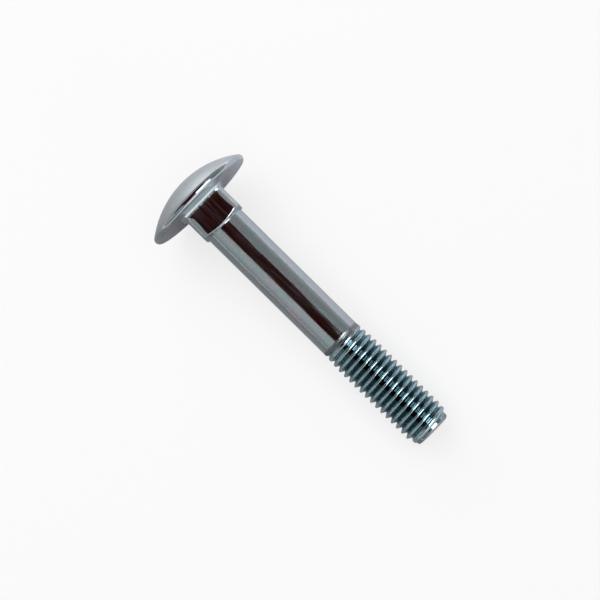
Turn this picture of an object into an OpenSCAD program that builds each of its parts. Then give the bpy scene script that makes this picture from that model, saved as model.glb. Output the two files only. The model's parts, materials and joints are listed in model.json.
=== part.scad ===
// Carriage bolt with a mushroom head, a square neck and a reduced shank.
// It is one cold-forged piece with a rolled right-hand thread, and it lies on its head's rim and its thread.

/* [Head] */
// Head diameter
head_d = 29.75; // [27:0.1:34]
// Head height, from the bearing face to the top of the dome
head_h = 6.6; // [5.6:0.05:8]
// Rounding of the head's edge
rim_r = 0.95; // [0.5:0.05:1.5]
// Rounding between the neck's flats and the bearing face
flat_fillet = 1.2; // [0.4:0.1:2]
// Rounding between the neck's corners and the bearing face
corner_fillet = 2.5; // [0.8:0.1:3]

/* [Square neck] */
// Width across the flats
neck_w = 11.9; // [11:0.05:12.7]
// Width across the rounded corners
neck_corner_d = 14.75; // [13.6:0.05:16]
// Length from the bearing face to the end of the flats
neck_len = 7.85; // [6.5:0.05:9]
// Slope of the corners' ends, from a plane square to the bolt
neck_end_slope = 20; // [10:1:45]

/* [Shank] */
// Length from the bearing face to the tip
bolt_len = 78.5; // [60:0.5:160]
// Shank diameter, close to the thread's pitch diameter
shank_d = 10.75; // [10.4:0.01:10.85]

/* [Thread] */
// Diameter over the crests
thread_d = 11.75; // [11.7:0.01:11.97]
// Distance from one crest to the next
pitch = 1.75; // [1.5:0.05:2]
// Depth from crest to root
thread_depth = 1.05; // [0.9:0.01:1.1]
// Width of the flat left on the crest
crest_w = 0.22; // [0.1:0.01:0.3]
// Length of thread and run-out together
thread_len = 32.3; // [24:0.1:40]
// Turns over which the crests grow to full height beside the shank
crest_grow_turns = 3; // [1:0.5:5]
// Turns over which the root reaches full depth beside the shank
root_grow_turns = 1; // [0.5:0.5:3]
// Turns over which the last crest fades at the tip
fade_turns = 0.5; // [0.25:0.25:2]
// Angle round the bolt at which the thread begins, from its upper side
thread_start = 135; // [0:15:345]
// How far the shank and the tip stand out from the thread's core beside them
core_step = 0.12; // [0.05:0.01:0.3]

/* [Tip] */
// Straight length of plain tip between the thread and the chamfer
tip_land = 0.15; // [0.1:0.05:2]
// Chamfer on the tip's end
tip_chamfer = 0.35; // [0.1:0.05:0.6]

/* [Hidden] */
$fn = 96;
flank_angle = 30;     // each flank's lean from a plane square to the bolt
flank_steps = 24;     // flat facets in one turn of the thread
bolt_colour = [0.66, 0.69, 0.71];

// Head: the dome's arc runs into the edge's rounding without a corner.
rim_centre = head_d / 2 - rim_r;
rim_drop = head_h - rim_r;
dome_r = (rim_centre ^ 2 + rim_drop ^ 2 - rim_r ^ 2) / (2 * (head_h - 2 * rim_r));
dome_centre = dome_r - head_h;

// Neck: the corners end in a cone that dives under the shank's surface.
neck_corner_r = neck_corner_d / 2;
neck_cone_tip = neck_len + neck_w / 2 * tan(neck_end_slope);
neck_cone_edge = neck_cone_tip - (neck_corner_r + corner_fillet) * tan(neck_end_slope);

// Thread: the root's flat takes what the two flanks and the crest leave of the pitch.
crest_r = thread_d / 2;
root_r = crest_r - thread_depth;
flank_w = thread_depth * tan(flank_angle);
root_w = pitch - crest_w - 2 * flank_w;
crest_offset = root_w + flank_w + crest_w / 2;
thread_z = bolt_len - thread_len;
wound_len = thread_len - tip_land - tip_chamfer;
turns = floor(wound_len / pitch * flank_steps) / flank_steps - 1;
steps = round(turns * flank_steps);
thread_top = thread_z + (turns + 1) * pitch;

// Rest: the bolt leans on the rim's rounding and on the last full crest of its lower side.
to_lower_side = (540 - thread_start) % 360 / 360;
full_turns = floor(turns - fade_turns - to_lower_side) + to_lower_side;
rest_crest_z = thread_z + crest_offset + full_turns * pitch;
rest_run = rest_crest_z + rim_r;
rest_drop = rim_centre - crest_r;
lean = atan(rest_drop / rest_run) + asin(rim_r / norm([rest_run, rest_drop]));
rest_height = rim_centre * cos(lean) + rim_r * (1 - sin(lean));
tip_r = root_r + core_step;
low_x = dome_centre * cos(lean) - dome_r;
high_x = bolt_len * cos(lean) + (tip_r - tip_chamfer) * sin(lean);

// Share of the way from a to b, held between the two.
function blend(a, b, share) = a + (b - a) * min(1, max(0, share));

// Radii along the thread, by the turns that have passed since its start.
function root_at(turn) = blend(shank_d / 2 - core_step, root_r, turn / root_grow_turns);
function grown_crest(turn) = blend(shank_d / 2 + core_step, crest_r, turn / crest_grow_turns);
function crest_at(turn) =
    blend(root_r + core_step, grown_crest(turn), (turns - turn) / fade_turns);

// A point at a radius and height, on the ray that the given step of the helix has reached.
function on_helix(step, radius, z) =
    let (angle = thread_start + 360 * step / flank_steps)
    [radius * cos(angle), radius * sin(angle), z];

// Two triangles for a four-sided face.
function quad(a, b, c, d) = [[a, b, c], [a, c, d]];

// Half of the head's outline, turned round the bolt's axis.
module head_section() {
    difference() {
        union() {
            intersection() {
                translate([0, dome_centre]) circle(dome_r);
                polygon([
                    [0, dome_centre],
                    [0, dome_centre - 2 * dome_r],
                    [2 * rim_centre, dome_centre - 2 * (dome_centre + rim_r)]
                ]);
            }
            translate([rim_centre, -rim_r]) circle(rim_r);
            translate([0, -rim_r]) square([rim_centre, rim_r]);
        }
        square([head_d, dome_r]);
    }
}

// Half-width w standing on the bearing face, with a concave rounding r at its foot.
module footed_section(w, r, len) {
    square([w, len]);
    difference() {
        square([w + r, r]);
        translate([w + r, r]) circle(r);
    }
}

// A bar as wide as the neck across one pair of flats.
module flats() {
    rotate([90, 0, 0])
        linear_extrude(height = head_d, center = true) {
            footed_section(neck_w / 2, flat_fillet, neck_cone_tip);
            mirror([1, 0]) footed_section(neck_w / 2, flat_fillet, neck_cone_tip);
        }
}

// The round bar that the neck's corners are cut to, with its sloping end.
module corners() {
    rotate_extrude()
        intersection() {
            footed_section(neck_corner_r, corner_fillet, neck_cone_tip);
            polygon([
                [0, 0],
                [neck_corner_r + corner_fillet, 0],
                [neck_corner_r + corner_fillet, neck_cone_edge],
                [0, neck_cone_tip]
            ]);
        }
}

module square_neck() {
    intersection() {
        flats();
        rotate([0, 0, 90]) flats();
        corners();
    }
}

// The whole threaded length: a ridge wound on its core, closed by a flat disc at each end.
module thread() {
    foot = [for (i = [0:steps + flank_steps])
        on_helix(i, root_at(i / flank_steps), thread_z + pitch * i / flank_steps)];
    rise = [for (i = [0:steps])
        on_helix(i, root_at(i / flank_steps), foot[i].z + root_w)];
    crest_a = [for (i = [0:steps])
        on_helix(i, crest_at(i / flank_steps), foot[i].z + crest_offset - crest_w / 2)];
    crest_b = [for (i = [0:steps])
        on_helix(i, crest_at(i / flank_steps), foot[i].z + crest_offset + crest_w / 2)];
    low_disc = [for (i = [1:flank_steps - 1])
        on_helix(i, root_at(i / flank_steps), thread_z)];
    high_disc = [for (i = [1:flank_steps - 1])
        on_helix(steps + i, root_r, thread_top)];
    f = 0;
    r = len(foot);
    a = r + len(rise);
    b = a + len(crest_a);
    lo = b + len(crest_b) - 1;
    hi = lo + len(low_disc);
    n = flank_steps;
    e = steps;
    sides = [for (i = [0:steps - 1]) each [
        each quad(f + i, r + i, r + i + 1, f + i + 1),
        each quad(r + i, a + i, a + i + 1, r + i + 1),
        each quad(a + i, b + i, b + i + 1, a + i + 1),
        each quad(b + i, f + i + n, f + i + n + 1, b + i + 1)
    ]];
    low_band = [
        [f, f + 1, lo + 1],
        for (i = [1:n - 2]) each quad(lo + i, f + i, f + i + 1, lo + i + 1),
        [lo + n - 1, f + n - 1, f + n],
        [lo + n - 1, f + n, r],
        [lo + n - 1, r, f]
    ];
    high_band = [
        [f + e, r + e, f + e + 1],
        [r + e, hi + 1, f + e + 1],
        [r + e, f + e + n, hi + 1],
        for (i = [1:n - 2]) each quad(f + e + i, hi + i, hi + i + 1, f + e + i + 1),
        [f + e + n - 1, hi + n - 1, f + e + n]
    ];
    ridge_ends = [
        each quad(f + n, b, a, r),
        each quad(r + e, a + e, b + e, f + e + n)
    ];
    discs = [
        [f, for (i = [1:n - 1]) lo + i],
        [for (i = [n - 1:-1:1]) hi + i, f + e + n]
    ];
    polyhedron(
        points = concat(foot, rise, crest_a, crest_b, low_disc, high_disc),
        faces = concat(sides, low_band, high_band, ridge_ends, discs),
        convexity = 10
    );
}

module tip() {
    translate([0, 0, thread_top]) cylinder(r = tip_r, h = bolt_len - thread_top - tip_chamfer);
    translate([0, 0, bolt_len - tip_chamfer])
        cylinder(r1 = tip_r, r2 = tip_r - tip_chamfer, h = tip_chamfer);
}

// The bolt along its own axis: bearing face at zero, tip upwards, one flat of the neck towards +X.
module upright_bolt() {
    rotate_extrude() head_section();
    square_neck();
    cylinder(d = shank_d, h = thread_z);
    thread();
    tip();
}

module carriage_bolt() {
    color(bolt_colour)
        translate([-(low_x + high_x) / 2, 0, rest_height])
            rotate([0, 90 + lean, 0])
                rotate([0, 0, 180])
                    upright_bolt();
}

carriage_bolt();
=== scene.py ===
# The looks of the carriage bolt: one smooth mesh, its zinc plating, a pale floor and soft light.
# The bolt and the camera are measured in millimetres from the bearing face, and the stage in metres.
import json
import math
from types import SimpleNamespace

import bpy
import numpy as np
from mathutils import Matrix, Vector

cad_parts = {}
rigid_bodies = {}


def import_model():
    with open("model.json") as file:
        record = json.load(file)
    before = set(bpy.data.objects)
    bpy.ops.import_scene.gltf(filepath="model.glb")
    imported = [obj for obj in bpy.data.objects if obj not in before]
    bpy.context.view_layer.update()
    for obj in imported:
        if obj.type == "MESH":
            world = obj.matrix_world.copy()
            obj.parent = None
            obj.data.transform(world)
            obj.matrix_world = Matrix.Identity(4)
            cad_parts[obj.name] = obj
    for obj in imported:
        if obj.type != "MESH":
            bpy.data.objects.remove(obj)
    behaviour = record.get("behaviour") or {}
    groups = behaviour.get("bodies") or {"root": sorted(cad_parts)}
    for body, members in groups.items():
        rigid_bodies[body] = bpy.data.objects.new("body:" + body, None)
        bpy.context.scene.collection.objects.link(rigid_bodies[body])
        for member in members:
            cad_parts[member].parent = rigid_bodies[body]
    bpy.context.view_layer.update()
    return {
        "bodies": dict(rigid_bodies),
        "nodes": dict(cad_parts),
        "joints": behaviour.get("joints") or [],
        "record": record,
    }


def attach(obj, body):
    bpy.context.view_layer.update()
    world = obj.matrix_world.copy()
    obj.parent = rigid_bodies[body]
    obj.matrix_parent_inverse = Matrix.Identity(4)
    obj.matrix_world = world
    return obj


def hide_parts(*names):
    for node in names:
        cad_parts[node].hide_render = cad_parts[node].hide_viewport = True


MM = 0.001

# Heights run along the bolt: the bearing face is at zero, the dome is below it and the tip is above it.

# Head
HEAD_D = 29.75
HEAD_H = 6.6
RIM_R = 0.95

# Square neck
NECK_W = 11.9
NECK_CORNER_D = 14.75
NECK_LEN = 7.85
NECK_SLOPE = math.radians(20)  # of the corners' ends, from a plane square to the bolt
FLAT_FILLET = 1.5  # at the foot of the flats
CORNER_FILLET = 2.5  # at the foot of the corners
NECK_EDGE_R = 0.25  # between a flat and a corner
NECK_END_R = 0.22  # between the corners' sides and their sloping ends
NECK_FLARE = 0.12  # how much the corners' radius grows towards the neck's end
FLARE_START, FLARE_LEN = 5.0, 2.2

# Plain shank
SHANK_D = 10.75
BLEND_OUT, BLEND_UP = 0.12, 0.15  # size of the small rounding between the neck's slope and the shank
BLEND_MIDDLE = 0.03, 0.02  # out and up to a point in that rounding
TWIST_LEN = 6.0  # length over which the points turn from the neck's places to even angles
EVEN_RINGS_Z = NECK_LEN + 7.0  # place from which the rings after those are spread
SHANK_GAP = 0.05  # between the last ring and the thread's first edge

# Thread
THREAD_D = 11.75
PITCH = 1.75
THREAD_DEPTH = 1.05
CREST_W = 0.37  # before it is rounded
FLANK_ANGLE = math.radians(30)
SHALLOW_DEPTH = 0.6  # a thread less deep than this is flattened as a whole
FIRST_CREST_ANGLE = math.radians(234)
FIRST_CREST_Z = 46.2
LAST_CREST_Z = 78.05
CREST_GROW_TURNS = 4.2
ROOT_GROW_TURNS = 0.7  # from the end of the first turn
FADE_TURNS = 1.3
STEP_SHARE = 0.06  # of the crest's growth comes as a small step in the first turn
STEP_TURN, STEP_TURNS = 0.45, 0.3  # where that step begins and over what it rises

# Tip
BOLT_LEN = 78.5
TIP_CHAMFER = 0.35
TIP_EDGE = 0.05  # softening of the chamfer's edges
TIP_GAP = 0.03  # between the thread's last edge and the chamfer

# Fineness of the mesh
POINTS = 128  # round the bolt, a multiple of eight
FLAT_STEPS, EDGE_STEPS = 7, 4  # in an eighth of the neck's outline
CORNER_STEPS = POINTS // 8 - FLAT_STEPS - EDGE_STEPS
DOME_SHARES = [*np.linspace(0, 0.97, 34)[1:], 0.985, 0.994, 1]  # closer beside the rim
RIM_STEPS = 15
FACE_STEPS = 7
FOOT_STEPS, FILLET_STEPS, NECK_STEPS = 10, 5, 11  # beside the flats' rounding, the corners' and the rest
NECK_END_STEPS, SLOPE_STEPS = 5, 6
TWIST_STEPS, SHANK_STEPS = 8, 13
ARC_STEPS = 3  # in each rounding of the thread's profile
FLANK_GUARD = 0.06  # share of a flank, beside each rounding, that takes up the bend of the normals
FIRST_STEP = round(FIRST_CREST_ANGLE / math.tau * POINTS)

# Camera: it stands square to the bolt's axis over one place on it, and looks at a point beside another.
CAMERA_FOOT_Z = 56.4
CAMERA_DISTANCE = 458.5
TARGET_Z, TARGET_Y = 33.6, 0.17
CAMERA_ROLL = math.radians(44.595)
LENS, SENSOR = 114, 36

# Plating: its colours, as red, green, blue and alpha
ZINC_BLUE, ZINC_PALE = (0.51, 0.635, 0.66, 1), (0.63, 0.645, 0.70, 1)
ZINC_GRAIN = (0.40, 0.44, 0.46, 1)
CREST_ZINC = (0.44, 0.61, 0.65, 1)
# painted shade down the thread's flanks, darker and bluer than the plating
FLANK_SHADE_ZINC = (0.28, 0.42, 0.48, 1)
# painted shade, near black, at the thread's roots
ROOT_SHADE_ZINC = (0.06, 0.10, 0.115, 1)
RUN_OUT_DARK, RUN_OUT_PALE = (0.14, 0.15, 0.15, 1), (0.33, 0.34, 0.35, 1)
# painted shade on the head's bearing face, with a random mottle
FACE_SHADE_DARK, FACE_SHADE_PALE = (0.37, 0.40, 0.42, 1), (0.52, 0.54, 0.60, 1)
TIP_ZINC = (0.34, 0.36, 0.37, 1)
# painted dark reflection, brownish, in a thin line along the seam of dome and rim
SEAM_REFLECTION_DARK = (0.16, 0.13, 0.12, 1)

# Stage
FLOOR_SIZE = 16
FLOOR_COLOUR = (0.22, 0.22, 0.22, 1)
FLOOR_LIFT, FAR_FLOOR_LIFT = 0.72, 0.90
CARD_HEIGHT = 0.3  # of the dark cards over the bolt
CARD_MIDDLE_Z = 0.036  # place along the bolt from which they are set out
DARK_CARD_COLOUR = (0.115, 0.012, 0.009, 1)
GROUND_CARD_SIZE, GROUND_CARD_LIFT = 0.7, 0.0004


def place(frame):
    """The bolt's own axes in the row frame: the bearing face's centre, then the directions x, y and z."""
    mount = next(each for each in frame["record"]["mounts"] if each["name"] == "bearing_face")
    z = Vector(mount["axis"]).normalized()
    y = Vector((0, -1, 0))
    return Vector(mount["pos_m"]), y.cross(z), y, z


def to_row(points, axes):
    """Turns points on the bolt's own axes, in millimetres, to the row frame."""
    origin, *directions = axes
    return points * MM @ np.array(directions) + np.array(origin)


def ease(x):
    """Runs softly from 0 to 1 as x does."""
    x = np.clip(x, 0, 1)
    return x * x * (3 - 2 * x)


def at_height(outline, z):
    """A ring of points with the given outline, at one height or at one for each point."""
    return np.column_stack([outline, np.broadcast_to(z, len(outline))])


def circle(radius, z, angles):
    """A round ring of points."""
    return at_height(np.column_stack([radius * np.cos(angles), radius * np.sin(angles)]), z)


def shares(steps):
    """Even shares of the way, after the start and up to the end."""
    return np.linspace(0, 1, steps + 1)[1:]


def head_rings(angles):
    """The dome, from beside its top to its seam with the rim, and then the rim's rounding."""
    rim_c = HEAD_D / 2 - RIM_R
    drop = HEAD_H - RIM_R
    dome_r = (rim_c**2 + drop**2 - RIM_R**2) / (2 * (HEAD_H - 2 * RIM_R))
    dome_c = dome_r - HEAD_H
    meet = math.atan2(rim_c, dome_c + RIM_R)
    dome = []
    for share in DOME_SHARES:
        turn = meet * share
        dome.append(circle(dome_r * math.sin(turn), dome_c - dome_r * math.cos(turn), angles))
    rim = []
    for turn in np.linspace(meet, math.pi, RIM_STEPS + 1)[1:]:
        rim.append(circle(rim_c + RIM_R * math.sin(turn), -RIM_R - RIM_R * math.cos(turn), angles))
    return dome, rim


def arc(centre, radius, start, stop, steps):
    """Points along an arc, both ends included."""
    turns = np.linspace(start, stop, steps + 1)
    return [(centre[0] + radius * math.cos(turn), centre[1] + radius * math.sin(turn)) for turn in turns]


def neck_outline(half, corner):
    """Points round the neck: flats at a half-width, corners on a radius, and a small arc between the two."""
    edge = half - NECK_EDGE_R, math.sqrt((corner - NECK_EDGE_R) ** 2 - (half - NECK_EDGE_R) ** 2)
    turn = math.atan2(edge[1], edge[0])
    eighth = [(half, y) for y in np.linspace(0, edge[1], FLAT_STEPS + 1)[:-1]]
    eighth += arc(edge, NECK_EDGE_R, 0, turn, EDGE_STEPS)
    eighth += arc((0, 0), corner, turn, math.pi / 4, CORNER_STEPS)[1:]
    quarter = np.array(eighth + [(y, x) for x, y in eighth[-2:0:-1]])
    x, y = quarter.T
    return np.concatenate([quarter, np.column_stack([-y, x]), -quarter, np.column_stack([y, -x])])


def foot(radius, z):
    """How far a rounding at the neck's foot stands out at a height."""
    return radius - math.sqrt(radius**2 - (radius - z) ** 2) if z < radius else 0.0


def neck_at(z):
    """The neck's outline at a height."""
    flare = NECK_FLARE * (ease((z - FLARE_START) / FLARE_LEN) - 0.5)
    half = NECK_W / 2 + foot(FLAT_FILLET, z)
    return neck_outline(half, NECK_CORNER_D / 2 + foot(CORNER_FILLET, z) + flare)


def slope_z(radius):
    """Height of the neck's sloping end at a radius."""
    return NECK_LEN + (NECK_W / 2 - radius) * math.tan(NECK_SLOPE)


def bearing_face_rings(angles):
    """The flat underside of the head, from the rim to the neck's foot."""
    outer = circle(HEAD_D / 2 - RIM_R, 0, angles)[:, :2]
    inner = neck_at(0)
    return [at_height(outer + (inner - outer) * share, 0) for share in shares(FACE_STEPS)]


def neck_side_rings():
    """The roundings at the neck's foot, then the neck up to the rounding of its end."""
    heights = [FLAT_FILLET * (1 - math.cos(math.pi / 2 * share)) for share in shares(FOOT_STEPS)]
    heights += [FLAT_FILLET + (CORNER_FILLET - FLAT_FILLET) * share for share in shares(FILLET_STEPS)]
    rings = [at_height(neck_at(z), z) for z in heights]
    stop = slope_z(np.hypot(*neck_at(NECK_LEN).T)) - NECK_END_R
    for share in shares(NECK_STEPS):
        outline = neck_at(CORNER_FILLET + (NECK_LEN - CORNER_FILLET) * share)
        rings.append(at_height(outline, CORNER_FILLET + (stop - CORNER_FILLET) * share))
    return rings


def neck_end_rings():
    """The rounding at the neck's end and the slope down to the shank, with the small rounding there."""
    outline = neck_at(NECK_LEN)
    edge_r = np.hypot(*outline.T)
    unit = outline / edge_r[:, None]
    inner_r = edge_r - NECK_END_R
    shank = SHANK_D / 2
    rings = []
    for share in shares(NECK_END_STEPS):
        side, edge, slope = (1 - share) ** 2, 2 * share * (1 - share), share**2
        radius = edge_r * (side + edge) + inner_r * slope
        z = (slope_z(edge_r) - NECK_END_R) * side + slope_z(edge_r) * edge + slope_z(inner_r) * slope
        rings.append(at_height(unit * radius[:, None], z))
    for share in shares(SLOPE_STEPS):
        radius = inner_r + (shank + BLEND_OUT - inner_r) * share
        rings.append(at_height(unit * radius[:, None], slope_z(radius)))
    out, up = BLEND_MIDDLE
    rings.append(at_height(unit * (shank + out), slope_z(shank) + up))
    return rings


def shank_rings(angles):
    """The plain shank, whose points turn to even angles, up to just below the thread's first turn."""
    shank = SHANK_D / 2
    outline = neck_at(NECK_LEN)
    neck_angles = np.unwrap(np.arctan2(outline[:, 1], outline[:, 0]))
    start = slope_z(shank) + BLEND_UP
    rings = [circle(shank, start, neck_angles)]
    for share in shares(TWIST_STEPS):
        turned = neck_angles + (angles - neck_angles) * share
        rings.append(circle(shank, start + TWIST_LEN * share, turned))
    stop = FIRST_CREST_Z - PITCH / 2 - SHANK_GAP
    for share in shares(SHANK_STEPS):
        rings.append(circle(shank, EVEN_RINGS_Z + (stop - EVEN_RINGS_Z) * share, angles))
    return rings


def thread_profile(depth):
    """Places across one pitch, from one root's middle to the next, and heights above the root, as shares.

    The flanks keep their slope whatever the depth, so a shallower thread has a broader crest.
    """
    slope = math.tan(FLANK_ANGLE)
    root = (PITCH - CREST_W) / 2 - THREAD_DEPTH * slope
    root_r = root / slope
    crest_r = (PITCH / 2 - root) / slope - depth
    turn = np.linspace(0, math.pi / 2 - FLANK_ANGLE, ARC_STEPS + 1)
    rounding = np.column_stack([np.sin(turn), 1 - np.cos(turn)])
    low = rounding * root_r
    high = ([PITCH / 2, depth] - rounding * crest_r)[::-1]
    flank = [low[-1] + (high[0] - low[-1]) * share for share in (FLANK_GUARD, 1 - FLANK_GUARD)]
    half = np.concatenate([low, flank, high])
    other = half[::-1] * [-1, 1] + [PITCH, 0]
    across, up = np.concatenate([half, other[1:]]).T
    return across / PITCH, up / depth


def thread_radii(steps):
    """Radii of root and crest at each angle step of the thread and for one turn more."""
    shank, crest_r = SHANK_D / 2, THREAD_D / 2
    root_r = crest_r - THREAD_DEPTH
    turn = np.arange(steps + POINTS + 1) / POINTS
    root = shank + (root_r - shank) * ease((turn - 1) / ROOT_GROW_TURNS)
    step = STEP_SHARE * ease((turn - STEP_TURN) / STEP_TURNS)
    crest = shank + (crest_r - shank) * (step + (1 - STEP_SHARE) * ease(turn / CREST_GROW_TURNS))
    left = np.clip((steps / POINTS - turn) / FADE_TURNS, 0, 1)
    return root, root + (crest - root) * left


def thread_columns(angles):
    """Columns of points across one pitch, one for each angle step from the first crest to the last.

    A point has its x, y and z and its depth below the crest, as a share of the thread's depth.
    """
    steps = round((LAST_CREST_Z - FIRST_CREST_Z) / PITCH * POINTS)
    root, crest = thread_radii(steps)
    columns = []
    for step in range(steps + 1):
        across, up = thread_profile(max(crest[step] - root[step], SHALLOW_DEPTH))
        crest_z = FIRST_CREST_Z + PITCH * step / POINTS
        room = min(PITCH / 2, BOLT_LEN - TIP_CHAMFER - TIP_GAP - crest_z)
        z = crest_z + (across - 0.5) * np.where(across <= 0.5, PITCH, 2 * room)
        base = root[step] + (root[step + POINTS] - root[step]) * ease(across)
        radius = base + (crest[step] - base) * up
        angle = angles[(step + FIRST_STEP) % POINTS]
        below = (crest[step] - radius) / THREAD_DEPTH
        columns.append(np.column_stack([radius * math.cos(angle), radius * math.sin(angle), z, below]))
    return np.array(columns)


def tip_rings(angles):
    """The tip's chamfer with its softened edges, and its flat end."""
    profile = [
        (0, 0),
        (1.2 * TIP_EDGE, TIP_EDGE),
        (TIP_CHAMFER - 0.7 * TIP_EDGE, TIP_CHAMFER - TIP_EDGE),
        (TIP_CHAMFER + 2 * TIP_EDGE, TIP_CHAMFER),
        (1.5, TIP_CHAMFER),
        (3, TIP_CHAMFER),
    ]
    root_r = THREAD_D / 2 - THREAD_DEPTH
    return [circle(root_r - inset, BOLT_LEN - TIP_CHAMFER + z, angles) for inset, z in profile]


class Mesh:
    """Gathers points and faces. A point also has a depth in the thread and a share in the rim's seam."""

    def __init__(self):
        self.points, self.depths, self.seams = [], [], []
        self.faces = []
        self.count = 0

    def add(self, points, depth=0.0, seam=0.0):
        """Adds points and gives the number of the first."""
        first = self.count
        self.points.append(np.asarray(points, float))
        self.depths.append(np.broadcast_to(depth, len(points)))
        self.seams.append(np.broadcast_to(seam, len(points)))
        self.count += len(points)
        return first

    def follow(self, ring, rings, seam=0.0):
        """Joins more rings to the ring that starts at a point, and gives the start of the last one."""
        for points in rings:
            new = self.add(points, seam=seam)
            for step in range(POINTS):
                after = (step + 1) % POINTS
                self.faces.append((ring + step, ring + after, new + after, new + step))
            ring = new
        return ring

    def data(self, name, axes):
        """The mesh in the row frame. Its points keep their places on the bolt, in millimetres."""
        points = np.concatenate(self.points)
        data = bpy.data.meshes.new(name)
        data.from_pydata(to_row(points, axes).tolist(), [], self.faces)
        data.update()
        data.shade_smooth()
        places = data.attributes.new("bolt_place", "FLOAT_VECTOR", "POINT")
        places.data.foreach_set("vector", points.ravel())
        for attribute, values in (("thread_depth", self.depths), ("rim_seam", self.seams)):
            layer = data.attributes.new(attribute, "FLOAT", "POINT")
            layer.data.foreach_set("value", np.concatenate(values))
        return data


class Strip:
    """The thread's surface, wound from columns that are one pitch long.

    A column's last point is the first point of the column one turn later, apart from the last turn.
    """

    def __init__(self, mesh, columns):
        self.last = len(columns) - 1
        self.width = columns.shape[1] - 1
        inner = columns[:, :-1].reshape(-1, 4)
        edge = columns[-POINTS:, -1]
        self.inner = mesh.add(inner[:, :3], inner[:, 3])
        self.edge = mesh.add(edge[:, :3], edge[:, 3])
        for step in range(self.last):
            for row in range(self.width):
                near, far = self.at(step, row), self.at(step, row + 1)
                mesh.faces.append((near, self.at(step + 1, row), self.at(step + 1, row + 1), far))

    def at(self, step, row):
        """The number of a point."""
        if row < self.width:
            return self.inner + step * self.width + row
        later = step + POINTS
        if later <= self.last:
            return self.inner + later * self.width
        return self.edge + later - self.last - 1


def join_shank(mesh, ring, strip):
    """Joins the shank's last ring to the thread's first turn. One face also closes the thread's start."""
    low = [ring + (step + FIRST_STEP) % POINTS for step in range(POINTS + 1)]
    for step in range(POINTS - 1):
        mesh.faces.append((low[step], low[step + 1], strip.at(step + 1, 0), strip.at(step, 0)))
    start = [strip.at(0, row) for row in range(strip.width + 1)]
    mesh.faces.append((low[-2], low[-1], *start, strip.at(POINTS - 1, 0)))


def join_tip(mesh, ring, strip):
    """Joins the thread's last turn to the tip's first ring. One face also closes the thread's end."""
    turn = range(strip.last - POINTS, strip.last + 1)
    high = [ring + (step + FIRST_STEP) % POINTS for step in turn]
    edge = [strip.at(step, strip.width) for step in turn]
    end = [strip.at(strip.last, row) for row in range(strip.width, 0, -1)]
    mesh.faces.append((edge[0], edge[1], high[1], high[0], *end))
    for step in range(1, POINTS):
        mesh.faces.append((edge[step], edge[step + 1], high[step + 1], high[step]))


def build(axes):
    """The whole bolt as one closed object."""
    mesh = Mesh()
    angles = np.arange(POINTS) * math.tau / POINTS

    dome, rim = head_rings(angles)
    top = mesh.add([(0, 0, -HEAD_H)])
    ring = mesh.add(dome[0])
    for step in range(POINTS):
        mesh.faces.append((top, ring + (step + 1) % POINTS, ring + step))
    ring = mesh.follow(ring, dome[1:-1])
    ring = mesh.follow(ring, dome[-1:], seam=1.0)
    ring = mesh.follow(ring, rim + bearing_face_rings(angles) + neck_side_rings() + neck_end_rings())
    ring = mesh.follow(ring, shank_rings(angles))

    strip = Strip(mesh, thread_columns(angles))
    join_shank(mesh, ring, strip)

    tip = tip_rings(angles)
    ring = mesh.add(tip[0])
    join_tip(mesh, ring, strip)
    ring = mesh.follow(ring, tip[1:])
    end = mesh.add([(0, 0, BOLT_LEN)])
    for step in range(POINTS):
        mesh.faces.append((ring + step, ring + (step + 1) % POINTS, end))

    bolt = bpy.data.objects.new("bolt", mesh.data("bolt", axes))
    bpy.context.scene.collection.objects.link(bolt)
    return bolt


class Nodes:
    """A node tree, with one call for each node."""

    def __init__(self, tree):
        self.tree = tree

    def put(self, socket, value):
        """Links a socket to another, or gives it a plain value."""
        if isinstance(value, bpy.types.NodeSocket):
            self.tree.links.new(value, socket)
        else:
            socket.default_value = value

    def add(self, kind, inputs=(), **settings):
        """A new node of a kind, with its inputs and its settings."""
        node = self.tree.nodes.new("ShaderNode" + kind)
        for name, value in settings.items():
            setattr(node, name, value)
        for name, value in dict(inputs).items():
            self.put(node.inputs[name], value)
        return node

    def math(self, operation, *values):
        """The result of one calculation."""
        return self.add("Math", dict(enumerate(values)), operation=operation).outputs[0]

    def noise(self, place, lengths, detail):
        """Noise whose grains are as long as it says along x, y and z."""
        scale = self.add("Mapping", {"Vector": place, "Scale": [1 / length for length in lengths]})
        inputs = {"Vector": scale.outputs[0], "Scale": 1.0, "Detail": detail}
        return self.add("TexNoise", inputs).outputs["Fac"]

    def ramp(self, value, low, high, to_low=0.0, to_high=1.0):
        """A value that runs softly between two others, while the given one runs from low to high."""
        inputs = {"Value": value, "From Min": low, "From Max": high, "To Min": to_low, "To Max": to_high}
        return self.add("MapRange", inputs, interpolation_type="SMOOTHSTEP").outputs[0]

    def band(self, value, rise, fall):
        """One between two soft ends, which are given as from and to, and nothing outside."""
        return self.math("MULTIPLY", self.ramp(value, *rise), self.ramp(value, *fall, 1.0, 0.0))

    def mix(self, share, first, second):
        """A mix of two colours."""
        node = self.add("Mix", data_type="RGBA")
        for number, value in ((0, share), (6, first), (7, second)):
            self.put(node.inputs[number], value)
        return node.outputs[2]

    def blend(self, share, first, second):
        """A mix of two plain values."""
        return self.add("Mix", {0: share, 2: first, 3: second}, data_type="FLOAT").outputs[0]


def new_material(name):
    """An empty material and its nodes."""
    material = bpy.data.materials.new(name)
    material.use_nodes = True
    material.node_tree.nodes.clear()
    return material, Nodes(material.node_tree)


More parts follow.
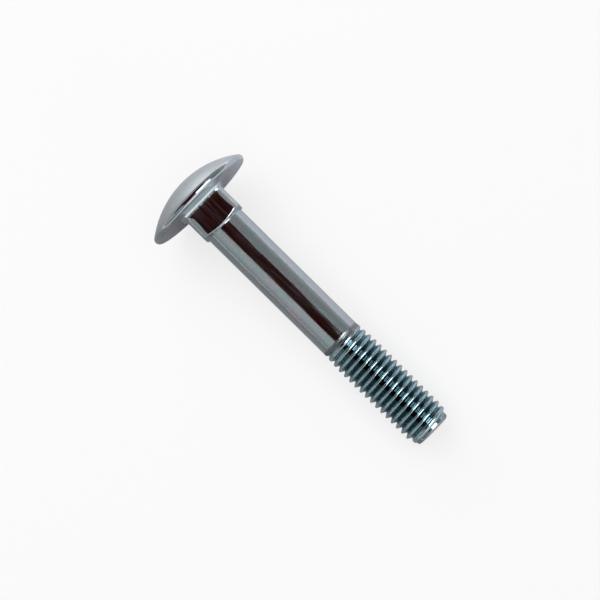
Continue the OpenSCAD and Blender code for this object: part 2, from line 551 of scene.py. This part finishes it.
def zinc_fields(nodes):
    """What the plating's colour and gloss depend on: places on the bolt and the plating's patterns."""
    place = nodes.add("Attribute", attribute_name="bolt_place").outputs["Vector"]
    z = nodes.add("SeparateXYZ", {0: place}).outputs["Z"]
    run_out_rise = FIRST_CREST_Z + 0.4, FIRST_CREST_Z + 0.9
    run_out_fall = FIRST_CREST_Z + 1.4, FIRST_CREST_Z + 2.6
    return SimpleNamespace(
        depth=nodes.add("Attribute", attribute_name="thread_depth").outputs["Fac"],
        seam=nodes.add("Attribute", attribute_name="rim_seam").outputs["Fac"],
        wound=nodes.band(z, (FIRST_CREST_Z + 1, FIRST_CREST_Z + 4), (BOLT_LEN - 2, BOLT_LEN - 0.9)),
        run_out=nodes.band(z, run_out_rise, run_out_fall),
        bearing_face=nodes.band(z, (-0.3, -0.1), (0.1, 0.4)),
        tip=nodes.ramp(z, BOLT_LEN - 1.5, BOLT_LEN - 0.9),
        mottle=nodes.noise(place, (3.0, 3.0, 5.0), 4.0),
        streaks=nodes.noise(place, (0.5, 0.5, 9.0), 3.0),
        grain=nodes.noise(place, (0.35, 0.35, 0.45), 3.0),
        waves=nodes.noise(place, (2.2, 2.2, 7.0), 1.0),
    )


def zinc_colour(nodes, fields):
    """Bluish, a little mottled and duller where the thread runs out. Painted shade darkens the thread's
    grooves, near black at the roots, and the bearing face; a painted dark reflection runs along the rim's
    seam.
    """
    mottle = nodes.ramp(fields.mottle, 0.35, 0.65)
    run_out = nodes.mix(nodes.ramp(fields.grain, 0.4, 0.6), RUN_OUT_DARK, RUN_OUT_PALE)
    colour = nodes.mix(mottle, ZINC_BLUE, ZINC_PALE)
    colour = nodes.mix(nodes.ramp(fields.grain, 0.3, 0.7, 0.0, 0.5), colour, ZINC_GRAIN)
    colour = nodes.mix(fields.wound, colour, CREST_ZINC)
    colour = nodes.mix(fields.run_out, colour, run_out)
    colour = nodes.mix(fields.tip, colour, TIP_ZINC)
    # painted shade on the bearing face under the head, mottled
    colour = nodes.mix(fields.bearing_face, colour, nodes.mix(mottle, FACE_SHADE_DARK, FACE_SHADE_PALE))
    # painted dark reflection along the rim's seam
    colour = nodes.mix(nodes.ramp(fields.seam, 0.0, 1.0, 0.0, 0.6), colour, SEAM_REFLECTION_DARK)
    # painted shade on the thread's flanks, growing with depth below the crest
    colour = nodes.mix(nodes.ramp(fields.depth, 0.08, 0.4), colour, FLANK_SHADE_ZINC)
    # painted shade, near black, down at the thread's roots
    return nodes.mix(nodes.ramp(fields.depth, 0.82, 0.92), colour, ROOT_SHADE_ZINC)


def zinc_roughness(nodes, fields):
    """Glossy with faint streaks, rougher on crests, run-out, tip and bearing face, least in the grooves."""
    crests = nodes.math("MULTIPLY", fields.wound, nodes.ramp(fields.depth, 0.1, 0.3, 0.1, 0.0))
    ends = nodes.math("ADD", fields.run_out, fields.tip)
    rough = nodes.math("ADD", nodes.ramp(fields.streaks, 0.3, 0.7, 0.08, 0.18), crests)
    rough = nodes.math("MULTIPLY_ADD", ends, 0.25, rough)
    rough = nodes.math("MULTIPLY_ADD", fields.bearing_face, 0.2, rough)
    return nodes.math("MULTIPLY", rough, nodes.ramp(fields.depth, 0.1, 0.35, 1.0, 0.4))


def zinc_bump(nodes, fields):
    """Slight waves, streaks and grain, which fade down in the grooves."""
    strength = nodes.ramp(fields.depth, 0.0, 0.3, 1.0, 0.1)
    below = {}
    for pattern, height in ((fields.waves, 0.04), (fields.streaks, 0.006), (fields.grain, 0.006)):
        inputs = {"Height": pattern, "Strength": strength, "Distance": height * MM}
        bump = nodes.add("Bump", inputs | below)
        below = {"Normal": bump.outputs[0]}
    return bump.outputs[0]


def zinc():
    """Bright zinc plating."""
    material, nodes = new_material("zinc_plate")
    fields = zinc_fields(nodes)
    look = {
        "Base Color": zinc_colour(nodes, fields),
        "Metallic": 1.0,
        "Roughness": zinc_roughness(nodes, fields),
        "Normal": zinc_bump(nodes, fields),
    }
    nodes.add("OutputMaterial", {"Surface": nodes.add("BsdfPrincipled", look).outputs[0]})
    return material


def floor_material():
    """A matt pale floor that the camera and the metal see brighter, and brightest far away."""
    material, nodes = new_material("floor")
    matt = nodes.add("BsdfDiffuse", {"Color": FLOOR_COLOUR})
    path = nodes.add("LightPath").outputs
    seen = nodes.math("MAXIMUM", path["Is Camera Ray"], path["Is Glossy Ray"])
    seen = nodes.math("MAXIMUM", seen, path["Is Transmission Ray"])
    from_middle = nodes.add("TexCoord").outputs["Object"]
    away = nodes.add("VectorMath", {0: from_middle}, operation="LENGTH").outputs["Value"]
    lift = nodes.math("MULTIPLY", seen, nodes.ramp(away, 0.3, 1.6, FLOOR_LIFT, FAR_FLOOR_LIFT))
    glow = nodes.add("Emission", {"Strength": lift})
    both = nodes.add("AddShader", {0: matt.outputs[0], 1: glow.outputs[0]})
    nodes.add("OutputMaterial", {"Surface": both.outputs[0]})
    return material


def dark_material():
    """A dark red-brown."""
    material, nodes = new_material("dark_card")
    matt = nodes.add("BsdfDiffuse", {"Color": DARK_CARD_COLOUR})
    nodes.add("OutputMaterial", {"Surface": matt.outputs[0]})
    return material


def ground_shade_material():
    """Painted shade and light of the floor round the bolt, for the metal to reflect: greys that are darker
    to the left of the bolt than to its right, palest far beyond the head on the right, and near to white
    past the tip."""
    material, nodes = new_material("floor_shade_card")
    place = nodes.add("SeparateXYZ", {0: nodes.add("TexCoord").outputs["Object"]}).outputs
    x, y = place["X"], place["Y"]
    # painted floor shadow on the left and lighter floor on the right, seen only in the metal
    beside = nodes.mix(nodes.ramp(y, -0.03, 0.03), (0.255, 0.25, 0.25, 1), (0.61, 0.61, 0.65, 1))
    near = nodes.mix(nodes.ramp(y, -0.035, 0.03), (0.38, 0.38, 0.39, 1), (0.72, 0.72, 0.73, 1))
    far = nodes.mix(nodes.ramp(y, -0.035, 0.02), (0.40, 0.40, 0.41, 1), (1.0, 1.0, 1.0, 1))
    beyond_head = nodes.mix(nodes.ramp(x, -0.115, -0.055), far, near)
    colour = nodes.mix(nodes.ramp(x, -0.085, -0.033), beyond_head, beside)
    colour = nodes.mix(nodes.ramp(x, 0.048, 0.075), colour, (0.98, 0.98, 0.98, 1))
    matt = nodes.add("BsdfDiffuse", {"Color": colour})
    nodes.add("OutputMaterial", {"Surface": matt.outputs[0]})
    return material


def plane(name, centre, size, normal, along, material):
    """A flat rectangle that faces the given way."""
    facing, along = Vector(normal).normalized(), Vector(along).normalized()
    length, width = along * size[0] / 2, facing.cross(along) * size[1] / 2
    corners = [-length - width, length - width, length + width, width - length]
    data = bpy.data.meshes.new(name)
    data.from_pydata([tuple(Vector(centre) + corner) for corner in corners], [], [(0, 1, 2, 3)])
    data.materials.append(material)
    sheet = bpy.data.objects.new(name, data)
    bpy.context.scene.collection.objects.link(sheet)
    return sheet


def card(name, centre, size, normal, along, material):
    """A matt card that only the metal sees."""
    sheet = plane(name, centre, size, normal, along, material)
    sheet.visible_camera = False
    sheet.visible_shadow = False
    sheet.visible_diffuse = False


def cards(axes):
    """Dark cards over the bolt, for the stripe along it, and a ground card round it with painted floor shade
    and light.
    """
    origin, x, y, z = axes
    dark = dark_material()
    middle = origin + z * CARD_MIDDLE_Z + x * CARD_HEIGHT
    for name, aside, along, size in (
        ("overhead_card", 0.002, -0.138, (0.396, 0.325)),
        ("overhead_flag", 0.072, 0.128, (0.14, 0.185)),
        ("side_card", 0.28, -0.276, (0.37, 0.25)),
    ):
        card(name, middle + y * aside + z * along, size, -x, z, dark)
    ground_size = GROUND_CARD_SIZE, GROUND_CARD_SIZE
    card("ground_shade_card", (0, 0, GROUND_CARD_LIFT), ground_size, (0, 0, 1), (1, 0, 0), ground_shade_material())


def lamp(name, centre, target, size, power):
    """A rectangular lamp that shines at a target."""
    data = bpy.data.lights.new(name, "AREA")
    data.shape = "RECTANGLE"
    data.size, data.size_y = size
    data.energy = power
    light = bpy.data.objects.new(name, data)
    light.location = centre
    light.rotation_euler = (Vector(target) - Vector(centre)).to_track_quat("-Z", "Y").to_euler()
    bpy.context.scene.collection.objects.link(light)
    return light


def lamps():
    """A lamp that lights only the metal, for the thread's crests, and two that don't show in the metal."""
    crests = lamp("tip_lamp", (0.32, 0.26, 0.50), (0.026, 0.26, 0.01), (0.42, 0.36), 3.3)
    crests.visible_diffuse = False
    for name, centre, target, size, power in (
        ("head_lamp", (-0.6, 0.1, 0.5), (-0.02, 0, 0), (0.8, 0.8), 3),
        ("top_lamp", (0, 0, 0.9), (0, 0, 0), (1.2, 1.2), 6.5),
    ):
        lamp(name, centre, target, size, power).visible_glossy = False


def world():
    """A soft surround: on the left it is brighter above than along the ground, and on the right the other
    way round. It is dimmer on the tip's side, apart from a bright patch at the horizon."""
    surround = bpy.data.worlds.new("studio")
    surround.use_nodes = True
    surround.node_tree.nodes.clear()
    nodes = Nodes(surround.node_tree)
    way = nodes.add("SeparateXYZ", {0: nodes.add("TexCoord").outputs["Generated"]}).outputs
    left = nodes.ramp(way["Z"], 0.0, 0.6, 0.31, 0.49)
    right = nodes.ramp(way["Z"], 0.0, 0.5, 0.44, 0.27)
    strength = nodes.blend(nodes.ramp(way["Y"], -0.4, 0.4), left, right)
    strength = nodes.math("MULTIPLY", strength, nodes.ramp(way["X"], 0.1, 0.45, 1.0, 0.6))
    strength = nodes.math("ADD", strength, nodes.ramp(way["X"], 0.6, 0.9, 0.0, 0.25))
    strength = nodes.math("ADD", strength, nodes.ramp(way["X"], 0.90, 0.97, 0.0, 1.0))
    back = nodes.add("Background", {"Color": (1.0, 1.0, 1.0, 1), "Strength": strength})
    nodes.add("OutputWorld", {"Surface": back.outputs[0]})
    bpy.context.scene.world = surround


def camera(axes):
    """Looks down on the bolt, with the head at the upper left and the tip at the lower right."""
    origin, x, y, z = axes
    target = origin + (z * TARGET_Z + y * TARGET_Y) * MM
    height = math.sqrt(CAMERA_DISTANCE**2 - (CAMERA_FOOT_Z - TARGET_Z) ** 2)
    eye = origin + (z * CAMERA_FOOT_Z + x * height) * MM
    back = (eye - target).normalized()
    side = (y - back * y.dot(back)).normalized()
    down = back.cross(side)
    right = down * math.cos(CAMERA_ROLL) - side * math.sin(CAMERA_ROLL)
    data = bpy.data.cameras.new("camera")
    data.lens, data.sensor_width = LENS, SENSOR
    data.clip_start, data.clip_end = 0.01, 20
    viewer = bpy.data.objects.new("camera", data)
    turn = Matrix((right, back.cross(right), back)).transposed().to_4x4()
    viewer.matrix_world = Matrix.Translation(eye) @ turn
    bpy.context.scene.collection.objects.link(viewer)
    bpy.context.scene.camera = viewer


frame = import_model()
axes = place(frame)

bolt = build(axes)
bolt.data.materials.append(zinc())
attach(bolt, "root")
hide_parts("carriage_bolt")

plane("floor", (0, 0, 0), (FLOOR_SIZE, FLOOR_SIZE), (0, 0, 1), (1, 0, 0), floor_material())
cards(axes)
world()
lamps()
camera(axes)
bpy.context.scene.view_settings.view_transform = "Standard"
